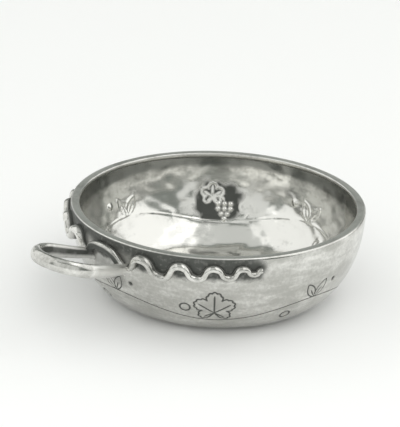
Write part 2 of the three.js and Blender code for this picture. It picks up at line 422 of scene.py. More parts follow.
class Relief:
    """Points along worked lines, each with its line's half width and depth, and round bosses."""

    STEP = 0.08 * MM
    FADE = 1.2 * MM
    END_SHARE = 0.35
    BLACKENING = 1.8
    DOME_POWER = 1.5

    def __init__(self):
        self.points = []
        self.halves = []
        self.depths = []
        self.bosses = []

    def line(self, path, width, depth):
        """Adds a line along a path. It fades at its ends, unless it closes on itself."""
        reach = ways_along(path)[-1]
        runs = np.linspace(0, reach, max(int(reach / self.STEP), 2))
        fade = np.ones_like(runs)
        if np.linalg.norm(path[0] - path[-1]) >= self.STEP:
            to_end = np.minimum(runs, reach - runs)
            fade = (self.END_SHARE + to_end / self.FADE).clip(0, 1)
        self.points.append(at_ways(path, runs))
        self.halves.append(width / 2 * fade)
        self.depths.append(depth * fade)

    def chase(self, wall_map, bowl, at, way, strokes, width=1, depth=1):
        """Adds strokes on the wall, in shares of a chased line's width and depth."""
        for stroke in strokes:
            self.line(wall_map.draw(at, way, stroke), bowl.line_width * width, bowl.line_depth * depth)

    def gather(self):
        """Joins what was added and makes a tree that finds the nearest line or boss."""
        for middle, half, _ in self.bosses:
            around = np.vstack((np.eye(3), -np.eye(3))) * half / 2
            self.points.append(middle + around)
            self.halves.append(np.full(len(around), TINY))
            self.depths.append(np.zeros(len(around)))
        self.points = np.concatenate(self.points)
        self.halves = np.concatenate(self.halves)
        self.depths = np.concatenate(self.depths)
        self.tree = kdtree.KDTree(len(self.points))
        for index, point in enumerate(self.points):
            self.tree.insert(point, index)
        self.tree.balance()

    def worked(self, points):
        """Depth of the work at each point, and how far it lies inside a line, from 0 to 1."""
        depth = np.zeros(len(points))
        inside = np.zeros(len(points))
        for index, point in enumerate(points):
            _, nearest, far = self.tree.find(point)
            away = far / self.halves[nearest]
            if away < 1:
                inside[index] = min(self.BLACKENING * (1 - away), 1)
                depth[index] = self.depths[nearest] * (1 - away * away) ** 2
        for middle, half, height in self.bosses:
            away = np.linalg.norm(points - middle, axis=1) / half
            near = away < 1
            dome = (1 - away[near] ** 2) ** self.DOME_POWER
            depth[near] = np.maximum(depth[near], height * dome)
            inside[near] = np.maximum(inside[near], (self.BLACKENING * dome).clip(0, 1))
        return depth, inside


# Where the ornament lies on the wall
FRONT = math.radians(47.1)
BAYS = 8
VINE_DROP = 18.8 * MM
VINE_SWING = 2.6 * MM
LEAF_SIZE = 12 * MM
LEAF_LIFT = 1.1 * VINE_SWING
BUD_SIZE = 6.5 * MM
BOSS_COUNT = 4
BOSS_ANGLE = math.radians(11.5)
BOSS_DROP = 12.4 * MM
PUNCH_RADIUS = 1.45 * MM
PUNCH_SHARE = 0.27

# Shares of a chased line's width and depth
FINE_WIDTH = 0.8
STEM_DEPTH = 0.7
PUNCH_WIDTH = 1.1
PUNCH_DEPTH = 0.5

# The medallion: its place, and a leaf, a stalk and a bunch of grapes in it
MEDALLION_DROP = 15.6 * MM
MEDALLION_WIDTH = 13.4 * MM
MEDALLION_HEIGHT = 12.4 * MM
MEDALLION_LEAF = 0.58
LEAF_PLACE = np.array([1.9, 2.5]) * MM
STALK = np.array([(-1.9, 0.4), (-1.4, 1.3), (0, 1.7), (1.9, 1.3)]) * MM
GRAPE_ROWS = (3, 3, 2, 1)
GRAPE_STEP = 1.9 * MM
ROW_STEP = 1.6 * MM
BUNCH_TOP = np.array([-1.9, -0.6]) * MM
GRAPE_SHARE = 0.43


def vine(wall_map, bowl):
    """The vine that runs round the outside: a waved stem with leaves, buds and ring punches."""
    relief = Relief()
    middle = wall_map.way_at(VINE_DROP)
    bay = math.tau / BAYS
    turns = np.linspace(0, math.tau, STEM_POINTS)
    stem = wall_map.place(FRONT + turns, middle + VINE_SWING * np.cos(turns * BAYS / 2))
    relief.line(stem, bowl.line_width * FINE_WIDTH, bowl.line_depth * STEM_DEPTH)
    for index in range(BAYS):
        at = FRONT + index * bay
        above = index % 2 == 0
        if index == BAYS // 2:
            medallion(relief, wall_map, bowl, at)
        elif above:
            relief.chase(wall_map, bowl, at, middle - LEAF_LIFT, leaf_strokes(LEAF_SIZE))
        else:
            relief.chase(wall_map, bowl, at, middle - VINE_SWING, bud_strokes(BUD_SIZE), FINE_WIDTH)
        way = middle - VINE_SWING if above else middle + VINE_SWING
        punch = [circle_stroke(PUNCH_RADIUS)]
        relief.chase(wall_map, bowl, at - bay * PUNCH_SHARE, way, punch, PUNCH_WIDTH, PUNCH_DEPTH)
    return relief


def medallion(relief, wall_map, bowl, at):
    """Adds the leaf, stalk and bunch that stand out inside on a dark ground."""
    way = wall_map.way_at(MEDALLION_DROP)
    leaf = [stroke * MEDALLION_LEAF + LEAF_PLACE for stroke in leaf_strokes(LEAF_SIZE)]
    relief.chase(wall_map, bowl, at, way, [*leaf, STALK])
    for row, count in enumerate(GRAPE_ROWS):
        for place in range(count):
            offset = np.array([(place - (count - 1) / 2) * GRAPE_STEP, -row * ROW_STEP])
            grape = wall_map.draw(at, way, (BUNCH_TOP + offset)[None])[0]
            relief.bosses.append((grape, bowl.boss_diameter * GRAPE_SHARE, bowl.boss_height))


def refine(bm, reliefs, longest, near):
    """Splits the sheet's long edges near worked lines, so that it can carry them."""
    split = []
    for edge in bm.edges:
        size = edge.calc_length()
        if size < longest:
            continue
        middle = (edge.verts[0].co + edge.verts[1].co) / 2
        if any(relief.tree.find(middle)[2] < near + size / 2 for relief in reliefs):
            split.append(edge)
    bmesh.ops.subdivide_edges(bm, edges=split, cuts=1, use_grid_fill=True)
    bmesh.ops.triangulate(bm, faces=[face for face in bm.faces if len(face.verts) > 3])


class TASTER_OT_bowl(bpy.types.Operator):
    """Raises the bowl's hammered sheet and chases the vine into it"""

    bl_idname = "taster.make_bowl"
    bl_label = "Hammered Bowl"

    ROUND_STEPS = 260
    WALL_STEPS = 36
    FLOOR_STEPS = 12
    # Rounds of splitting, as (longest edge, distance from a worked line). The last is for the outside
    SPLITS = ((0.75 * MM, 0.6 * MM), (0.4 * MM, 0.45 * MM), (0.2 * MM, 0.3 * MM))
    # Widths inside, as shares of a line's half width and a boss's width outside
    RIDGE_SPREAD = 3.4
    BOSS_SPREAD = 1.25
    # Hammer marks, and the share of them that shows outside and on the floor
    DENT = 5 * MM
    STRETCH = Vector((1, 1, 1.8))
    RIPPLE = 6 * MM
    SWELL = 17 * MM
    OUTSIDE_SHARE = 0.22
    FLOOR_SHARE = 0.45
    WALL_GAIN = 3
    # Smooth strips below the rim wire and above the table
    RIM_STRIP = 2 * MM
    FOOT_STRIP = 1.5 * MM
    # The medallion's ground: raggedness, squareness, and its edge as shares of its half size
    RAGGED = 3 * MM
    RAGGED_SHARE = 0.22
    SQUARENESS = 2.6
    EDGE = 1.1
    EDGE_FADE = 0.2

    def execute(self, context):
        bowl = context.scene.taster_bowl
        outer = WallSide(bowl, 0)
        inner = WallSide(bowl, bowl.wall)
        wall_map = WallMap(outer)
        bm, _ = drawn(self.outline(outer, inner, bowl), False)
        spin(bm, self.ROUND_STEPS)
        bmesh.ops.triangulate(bm, faces=bm.faces)
        reliefs = self.reliefs(wall_map, bowl)
        for (longest, near), worked in zip(self.SPLITS, (reliefs, reliefs, reliefs[:1])):
            refine(bm, worked, longest, near)
        self.work(bm, wall_map, (outer, inner), reliefs, bowl)
        finished_piece("hammered_bowl", bm, hammered_silver(context.scene), "bowl")
        return {"FINISHED"}

    def outline(self, outer, inner, bowl):
        """The sheet's section, from the underside's middle round the edge to the floor's middle."""
        flat = np.linspace(0, outer.base, self.FLOOR_STEPS + 1)[:-1]
        front, back = (list(zip(*side.outline(self.WALL_STEPS, RIM_FOOT))) for side in (outer, inner))
        underside = [(radius, 0) for radius in flat]
        floor = [(radius, bowl.wall) for radius in flat[::-1]]
        return [*underside, *front, *back[::-1], *floor]

    def reliefs(self, wall_map, bowl):
        """The chased lines outside, and their raised backs and the medallion inside."""
        outside = vine(wall_map, bowl)
        inside = Relief()

        def inwards(points):
            return points - wall_map.side.outward(points) * bowl.wall

        for path, halves, depths in zip(outside.points, outside.halves, outside.depths):
            raised = float(depths.max()) / bowl.line_depth
            width = float(halves.max()) * self.RIDGE_SPREAD
            inside.line(inwards(path), width, bowl.ridge_height * raised**2)
        for index in range(BOSS_COUNT):
            spot = wall_map.spot(BOSS_ANGLE + index * math.tau / BOSS_COUNT, BOSS_DROP)[0]
            outside.bosses.append((spot, bowl.boss_diameter / 2, bowl.boss_height))
        for spot, half, height in outside.bosses:
            inside.bosses.append((inwards(spot[None])[0], half * self.BOSS_SPREAD, height))
        for relief in (outside, inside):
            relief.gather()
        return outside, inside

    def work(self, bm, wall_map, sides, reliefs, bowl):
        """Settles each side on its true form, then hammers and chases it."""
        points = np.array([vert.co for vert in bm.verts])
        middle = WallSide(bowl, bowl.wall / 2)
        across, down = middle.shares(points)
        is_outer = np.where(across > 0, across**middle.bend + down**middle.bend, down) > 1
        free = ((RIM_FOOT - points[:, 2]) / self.RIM_STRIP).clip(0, 1)
        outer_share = self.OUTSIDE_SHARE * (points[:, 2] / self.FOOT_STRIP).clip(0, 1)
        inner_share = (self.FLOOR_SHARE + across * self.WALL_GAIN).clip(0, 1)
        hammered = np.where(is_outer, outer_share, inner_share)
        oxide_and_shade = np.zeros(len(points))
        for side, relief, mask in zip(sides, reliefs, (is_outer, ~is_outer)):
            settled = side.settle(points[mask])
            depth, within = relief.worked(settled)
            uneven = self.dents(settled, bowl) * hammered[mask]
            points[mask] = settled + side.outward(settled) * ((uneven - depth) * free[mask])[:, None]
            if side is wall_map.side:
                oxide_and_shade[mask] = within
            else:
                oxide_and_shade[mask] = self.medallion_ground(settled, wall_map, bowl) * (1 - within)
        layer = bm.verts.layers.float.new("oxide_and_shade")
        for vert, point, dark in zip(bm.verts, points, oxide_and_shade):
            vert.co = point
            vert[layer] = dark

    def dents(self, points, bowl):
        """How far the hammer left the sheet in or out: shallow dishes on a slow swell."""
        moves = []
        for point in points:
            place = Vector(point)
            near, _ = noise.voronoi(place * self.STRETCH / self.DENT)
            swell = noise.noise(place / self.SWELL) * bowl.swell
            ripple = noise.noise(place / self.RIPPLE) * bowl.ripple
            moves.append(swell + ripple - near[0] ** 2 * bowl.dent)
        return np.array(moves)

    def medallion_ground(self, points, wall_map, bowl):
        """How far the medallion's dark ground covers each point inside."""
        middle = wall_map.spot(FRONT + math.pi, MEDALLION_DROP)
        out = wall_map.side.outward(middle)[0]
        right = np.array([-math.sin(FRONT), math.cos(FRONT), 0])
        up = np.cross(out, right)
        offset = points - (middle[0] - out * bowl.wall)
        across = np.abs(offset @ right / (MEDALLION_WIDTH / 2))
        along = np.abs(offset @ up / (MEDALLION_HEIGHT / 2))
        ragged = np.array([noise.noise(Vector(point) / self.RAGGED) for point in points])
        away = (across**self.SQUARENESS + along**self.SQUARENESS) ** (1 / self.SQUARENESS)
        return ((self.EDGE - away - self.RAGGED_SHARE * ragged) / self.EDGE_FADE).clip(0, 1)


class TASTER_OT_rim(bpy.types.Operator):
    """Turns the rim wire with its worn corners"""

    bl_idname = "taster.make_rim"
    bl_label = "Rim Wire"

    ROUND_STEPS = 288
    CORNER_STEPS = 5
    FACE_STEPS = 4

    def execute(self, context):
        bowl = context.scene.taster_bowl
        rim = context.scene.taster_rim
        wall = WallSide(bowl, 0)
        foot = HEIGHT - RIM_FOOT
        inside = RIM_RADIUS - rim.width
        outline = [
            (RIM_RADIUS, HEIGHT),
            (inside, HEIGHT),
            (inside, HEIGHT - rim.lip),
            (WallSide(bowl, bowl.wall).radius(foot), RIM_FOOT),
        ]
        for drop in np.linspace(foot, foot / 2, self.FACE_STEPS):
            outline.append((wall.radius(drop), HEIGHT - drop))
        bm, verts = drawn(outline, True)
        for corner, edge in zip(verts[:2], (rim.outer_edge, rim.inner_edge)):
            steps = {"segments": self.CORNER_STEPS, "profile": 0.5}
            bmesh.ops.bevel(bm, geom=[corner], offset=edge, affect="VERTICES", material=-1, **steps)
        spin(bm, self.ROUND_STEPS)
        finished_piece("worn_rim", bm, rim_silver(context.scene), "rim_wire")
        return {"FINISHED"}


# The form of the ring and the arch beyond their sizes, as in the solids
SOLDER_GAP = 0.3 * MM
RING_ROUND = math.radians(106)
RING_ROUND_POINTS = 5
RING_TAPER = 0.5
ARCH_SEAT = math.radians(65)
ARCH_SHOULDER = 0.66
ARCH_SHOULDER_FALL = 0.28
CURVE_STEPS = 40
WIRE_SIDES = 36


def mirrored(middle, half):
    """Points alike on both sides of the XZ plane, from the middle and the -Y side's."""
    return [*(Vector((point.x, -point.y, point.z)) for point in reversed(half)), middle, *half]


def ring_knots(bowl, ring):
    """The ring's centre line, from its +Y end round the tip to its -Y end."""
    side = WallSide(bowl, 0)
    radius = (ring.finger_hole + ring.thickness) / 2
    foot, _ = on_wall(side, math.asin(ring.spread / 2 / side.radius(ring.drop)), ring.drop, SOLDER_GAP)

    def on_ring(turn):
        along = ring.neck + radius * (1 + math.cos(turn))
        reach = foot.x - along * math.cos(ring.slope)
        return Vector((reach, -radius * math.sin(turn), foot.z + along * math.sin(ring.slope)))

    half = [on_ring(RING_ROUND * index / RING_ROUND_POINTS) for index in range(1, RING_ROUND_POINTS + 1)]
    return mirrored(on_ring(0), [*half, foot])


def arch_knots(bowl, ring):
    """The arch's centre line, from its +Y end over the crown to its -Y end."""
    side = WallSide(bowl, 0)
    rise = ring.arch_wire * math.tan(ring.slope)
    reach = ring.spread / 2 - ring.thickness / 2 * math.cos(ARCH_SEAT)
    end_drop = ring.drop - rise - ring.end_depth / 2 * math.sin(ARCH_SEAT)
    end_angle = math.asin(reach / side.radius(end_drop))
    shoulder_drop = ring.arch_drop + (end_drop - ring.arch_drop) * ARCH_SHOULDER_FALL
    places = ((0, ring.arch_drop), (end_angle * ARCH_SHOULDER, shoulder_drop), (end_angle, end_drop))
    crown, *half = (on_wall(side, turn, drop, ring.arch_wire / 2)[0] for turn, drop in places)
    return mirrored(crown, half)


def smooth_path(knots, count):
    """Even steps along a curve through the knots, with speeds by the roots of the chords."""
    posts = [knots[0] * 2 - knots[1], *knots, knots[-1] * 2 - knots[-2]]
    points = []
    for before, start, end, after in zip(posts, posts[1:], posts[2:], posts[3:]):
        chords = (start - before, end - start, after - end)
        first, middle, last = (math.sqrt(chord.length) for chord in chords)
        leave = (start - before) / first - (end - before) / (first + middle) + (end - start) / middle
        arrive = (end - start) / middle - (after - start) / (middle + last) + (after - end) / last
        handles = (start + leave * middle / 3, end - arrive * middle / 3)
        points += geometry.interpolate_bezier(start, *handles, end, CURVE_STEPS)[:-1]
    path = np.array([*points, knots[-1]])
    runs = np.linspace(0, ways_along(path)[-1], count)
    return [Vector(point) for point in at_ways(path, runs)]


def led_on(path, reach):
    """The path led on a little at both ends."""
    first = path[0] + (path[0] - path[1]).normalized() * reach
    last = path[-1] + (path[-1] - path[-2]).normalized() * reach
    return [first, *path, last]


def smooth_step(value, low, high):
    """0 below low, 1 above high and an even rise between."""
    way = min(max((value - low) / (high - low), 0), 1)
    return way * way * (3 - 2 * way)


def ring_frame(path, index, slope):
    """The directions across a wire and up along the ring's axis, at one of its points."""
    ahead = path[min(index + 1, len(path) - 1)]
    behind = path[max(index - 1, 0)]
    tangent = (ahead - behind).normalized()
    axis = Vector((math.sin(slope), 0, math.cos(slope)))
    up = (axis - tangent * axis.dot(tangent)).normalized()
    return up.cross(tangent), up


def flattened(value, squareness):
    """A unit circle's x or y moved out towards a square: 2 leaves the circle."""
    return math.copysign(abs(value) ** (2 / squareness), value)


def bent_wire(maker, knots, ring):
    """The wire that an operator bends along the knots, with its own sections and painted shade."""
    path = led_on(smooth_path(knots, maker.STATIONS), maker.SUNK)
    stations = [maker.station(path, index, ring) for index in range(len(path))]
    bm = swept(WIRE_SIDES, stations, maker.painted_shade)
    wobble(bm, maker.WOBBLE_SIZE, maker.WOBBLE)
    return bm


class TASTER_OT_ring(bpy.types.Operator):
    """Forges the ring handle and solders its ends to the wall"""

    bl_idname = "taster.make_ring"
    bl_label = "Ring Handle"

    STATIONS = 210
    HOLE_SQUARENESS = 2.5
    WOBBLE_SIZE = 5 * MM
    WOBBLE = 0.07 * MM
    SUNK = 0.6 * MM
    # How the ends grow towards the wall
    END_REACH = 10 * MM
    END_SWELL = 0.6 * MM
    END_LIFT = 0.6 * MM
    BEAD_REACH = 1.7 * MM
    LUMP_SIZE = 0.9 * MM
    LUMP = 0.28 * MM
    # Painted shade in the hole, low in it and underneath, and the section's x or y where each fades
    SHADE_STRENGTH = 1.2
    LOW_SHADE = 0.35
    UNDER_SHADE = 0.26
    HOLE_FACE = (0.2, 0.6)
    UPPER_EDGE = (0.45, 0.75)
    LOWER_PART = (-0.35, 0.05)
    UNDERSIDE = (0.15, 0.8)

    def execute(self, context):
        bowl = context.scene.taster_bowl
        ring = context.scene.taster_ring
        side = WallSide(bowl, 0)
        bm = bent_wire(self, ring_knots(bowl, ring), ring)

        def soldered(point):
            off_wall = point.xy.length - side.radius(HEIGHT - min(point.z, HEIGHT))
            return 1 - smooth_step(off_wall, self.BEAD_REACH / 2, self.BEAD_REACH)

        wobble(bm, self.LUMP_SIZE, self.LUMP, soldered)
        finished_piece("finger_ring", bm, ring_silver(context.scene), "ring_handle")
        return {"FINISHED"}

    def painted_shade(self, x, y):
        """How dark the painted shade makes a section: most of all in the hole under its upper edge, less
        underneath.
        """
        low = self.LOW_SHADE + (1 - self.LOW_SHADE) * smooth_step(y, *self.LOWER_PART)
        band = (1 - smooth_step(y, *self.UPPER_EDGE)) * low
        underneath = self.UNDER_SHADE * smooth_step(-y, *self.UNDERSIDE)
        return max(self.SHADE_STRENGTH * smooth_step(x, *self.HOLE_FACE) * band, underneath)

    def station(self, path, index, ring):
        """Places one section: domed outside, flatter in the hole, thicker in its solder."""
        across, up = ring_frame(path, index, ring.slope)
        to_wall = abs(2 * index / (len(path) - 1) - 1)
        narrowing = smooth_step(to_wall, RING_TAPER, 1)
        to_end = min((path[index] - path[0]).length, (path[index] - path[-1]).length)
        bead = ring.bead * max(1 - to_end / self.BEAD_REACH, 0) ** 2
        ending = max(1 - to_end / self.END_REACH, 0) ** 2
        half_depth = (ring.depth + (ring.end_depth - ring.depth) * narrowing) / 2 + bead
        half_width = ring.thickness / 2 + bead
        outer_half = half_width + self.END_SWELL * ending
        lift = self.END_LIFT * ending

        def place(x, y):
            square = self.HOLE_SQUARENESS if x > 0 else 2
            out = flattened(x, square) * (half_width if x > 0 else outer_half)
            return path[index] + across * out + up * (flattened(y, square) * half_depth + lift)

        return place


class TASTER_OT_arch(bpy.types.Operator):
    """Lays the arch wire on the wall over the ring's ends"""

    bl_idname = "taster.make_arch"
    bl_label = "Arch Wire"

    STATIONS = 60
    SUNK = 1 * MM
    FILLET = 0.4
    THINNED = 0.35
    THIN_REACH = 0.4
    WOBBLE_SIZE = 3 * MM
    WOBBLE = 0.06 * MM
    # Painted shade, and the direction in a section that is left bright where light falls, with where that
    # fades
    SHADE_STRENGTH = 1.3
    LIT_SIDE = (-0.5, 0.87)
    LIT_FADE = (0.45, 0.95)

    def execute(self, context):
        ring = context.scene.taster_ring
        bm = bent_wire(self, arch_knots(context.scene.taster_bowl, ring), ring)
        finished_piece("arch", bm, ring_silver(context.scene), "arch_wire")
        return {"FINISHED"}

    def painted_shade(self, x, y):
        """How dark the painted shade makes a section: all but its upper front, where the light falls."""
        towards = x * self.LIT_SIDE[0] + y * self.LIT_SIDE[1]
        return self.SHADE_STRENGTH - self.SHADE_STRENGTH * smooth_step(towards, *self.LIT_FADE)

    def station(self, path, index, ring):
        """Places one section: round in front, and spread by solder at the wall."""
        across, up = ring_frame(path, index, ring.slope)
        way = index / (len(path) - 1)
        half = ring.arch_wire / 2 * (1 - self.THINNED * (1 - smooth_step(way, 0, self.THIN_REACH)))

        def place(x, y):
            spread = 1 + self.FILLET * max(x, 0) ** 2
            back = x * (ring.arch_wire / 2 + SOLDER_GAP if x > 0 else half)
            return path[index] + across * back + up * (y * half * spread)

        return place


# The wavy wires' form beyond their sizes, as in the solids
TROUGH_SHARES = (1, 0.98, 0.78, 0.63, 0.42)
WAVE_ROUNDNESS = 0.5
STEP_SHARES = (0.45, 0.68, 0.48, 0.5, 0.44, 0.44, 0.35, 0.33)


class TASTER_OT_waves(bpy.types.Operator):
    """Bends the two wavy wires along the wall"""

    bl_idname = "taster.make_waves"
    bl_label = "Wavy Wires"

    # Each wire as (name, node, side of the ring)
    WIRES = (("wave_front", "wave_wire_front", 1), ("wave_back", "wave_wire_back", -1))
    TURN_STEPS = 16
    SIDES = 28
    SIGHT = 0.04
    FOOT = 0.08 * MM
    SQUARENESS = 2.5
    # Where the painted shade on the sides fades, as heights in the section
    SHADED_SIDE = (0.2, 0.55)
    WOBBLE_SIZE = 2.5 * MM
    WOBBLE = 0.06 * MM

    def execute(self, context):
        bowl = context.scene.taster_bowl
        wave = context.scene.taster_wave
        turns = self.turns(wave, context.scene.taster_ring)
        material = wave_silver(context.scene)
        last = len(turns) - 1
        count = last * self.TURN_STEPS
        positions = [last * index / count for index in range(count + 1)]
        for name, node, hand in self.WIRES:
            stations = [self.station(bowl, wave, turns, hand, position) for position in positions]
            bm = swept(self.SIDES, stations, self.painted_shade)
            wobble(bm, self.WOBBLE_SIZE, self.WOBBLE)
            finished_piece(name, bm, material, node)
        return {"FINISHED"}

    def turns(self, wave, ring):
        """The turning points, as (way along the wall from the ring's middle, drop below the rim)."""
        beside = ring.spread / 2 + ring.thickness / 2 + SOLDER_GAP
        troughs = [wave.crest_drop + wave.swing * part for part in TROUGH_SHARES]
        turns = [(beside, troughs[0])]
        for index, part in enumerate(STEP_SHARES):
            drop = wave.crest_drop if index % 2 == 0 else troughs[(index + 1) // 2]
            turns.append((turns[-1][0] + wave.wave_length * part, drop))
        turns.append((turns[-1][0] + wave.tail_length, wave.tail_drop))
        return turns

    def back(self, bowl, turns, position, hand):
        """A place on the wall under the wire, and the wall's outward direction there."""
        index = min(int(position), len(turns) - 2)
        part = position - index
        (along, drop), (next_along, next_drop) = turns[index], turns[index + 1]
        ease = (1 - math.cos(math.pi * part)) / 2
        run = part + WAVE_ROUNDNESS * math.sin(math.tau * part) / math.tau
        place = along + (next_along - along) * run
        fall = drop + (next_drop - drop) * ease
        return on_wall(WallSide(bowl, 0), hand * place / RIM_RADIUS, fall, -self.FOOT)

    def painted_shade(self, x, y):
        """How dark the painted shade makes a section: only on its sides, down at the wall."""
        return 1 - smooth_step(y, *self.SHADED_SIDE)

    def swell(self, start, full, tail, position, last):
        """A size along the wire, which grows up to the first crest and then thins."""
        if position < 1:
            return start + (full - start) * position
        return full + (tail - full) * (position - 1) / (last - 1)

    def station(self, bowl, wave, turns, hand, position):
        """Places one flat-backed, domed section."""
        last = len(turns) - 1
        point, out = self.back(bowl, turns, position, hand)
        behind, _ = self.back(bowl, turns, max(position - self.SIGHT, 0), hand)
        ahead, _ = self.back(bowl, turns, min(position + self.SIGHT, last), hand)
        across = out.cross((ahead - behind).normalized()).normalized()
        half = self.swell(wave.start_width, wave.width, wave.tail_width, position, last) / 2
        proud = self.swell(wave.start_proud, wave.proud, wave.tail_proud, position, last)

        def place(x, y):
            lift = flattened(max(y, 0), self.SQUARENESS) * proud
            return point + across * (flattened(x, self.SQUARENESS) * half) + out * lift

        return place


# Materials


class Value:
    """A socket in shader maths: an expression on values adds its Math nodes."""

    def __init__(self, socket):
        self.socket = socket
        self.tree = socket.id_data

    def out(self, name):
        """Another output of the same node."""
        return Value(self.socket.node.outputs[name])

    def maths(self, operation, *terms):
        node = self.tree.nodes.new("ShaderNodeMath")
        node.operation = operation
        for socket, term in zip(node.inputs, terms):
            plug(socket, term)
        return Value(node.outputs[0])

    def at_least(self, other):
        """The greater of two values."""
        return self.maths("MAXIMUM", self, other)

    def __add__(self, other):
        return self.maths("ADD", self, other)

    def __sub__(self, other):
        return self.maths("SUBTRACT", self, other)

    def __rsub__(self, other):
        return self.maths("SUBTRACT", other, self)

    def __mul__(self, other):
        return self.maths("MULTIPLY", self, other)

    def __truediv__(self, other):
        return self.maths("DIVIDE", self, other)

    def __pow__(self, other):
        return self.maths("POWER", self, other)

    def __abs__(self):
        return self.maths("ABSOLUTE", self)

    __radd__ = __add__
    __rmul__ = __mul__


def plug(socket, value):
    """Links a value to a socket, or sets the socket's own number or colour."""
    if isinstance(value, Value):
        socket.id_data.links.new(value.socket, socket)
    else:
        socket.default_value = value


def rgba(tint):
    """A colour property as a shader's colour."""
    return (*tint, 1)


class Finish:
    """A node tree that is built by calls, for a material or the world."""

    # A Mix node's colour sockets by place, because their names repeat
    MIX_FACTOR, MIX_FIRST, MIX_SECOND, MIX_RESULT = 0, 6, 7, 2

    def __init__(self, owner):
        owner.use_nodes = True
        self.tree = owner.node_tree
        self.tree.nodes.clear()

    def node(self, kind, settings=None, sockets=None, output=0):
        """Makes a node with its settings, then sets or links its sockets."""
        made = self.tree.nodes.new(kind)
        for name, value in (settings or {}).items():
            setattr(made, name, value)
        for name, value in (sockets or {}).items():
            plug(made.inputs[name], value)
        return Value(made.outputs[output]) if made.outputs else None

    def smooth(self, value, low, high):
        """0 below low, 1 above high and an even rise between, or a fall if low is above high."""
        return self.node(
            "ShaderNodeMapRange",
            {"interpolation_type": "SMOOTHSTEP"},
            {"Value": value, "From Min": low, "From Max": high},
        )

    def blend(self, amount, first, second):
        """A colour between two colours."""
        sockets = {self.MIX_FACTOR: amount, self.MIX_FIRST: first, self.MIX_SECOND: second}
        return self.node("ShaderNodeMix", {"data_type": "RGBA"}, sockets, self.MIX_RESULT)


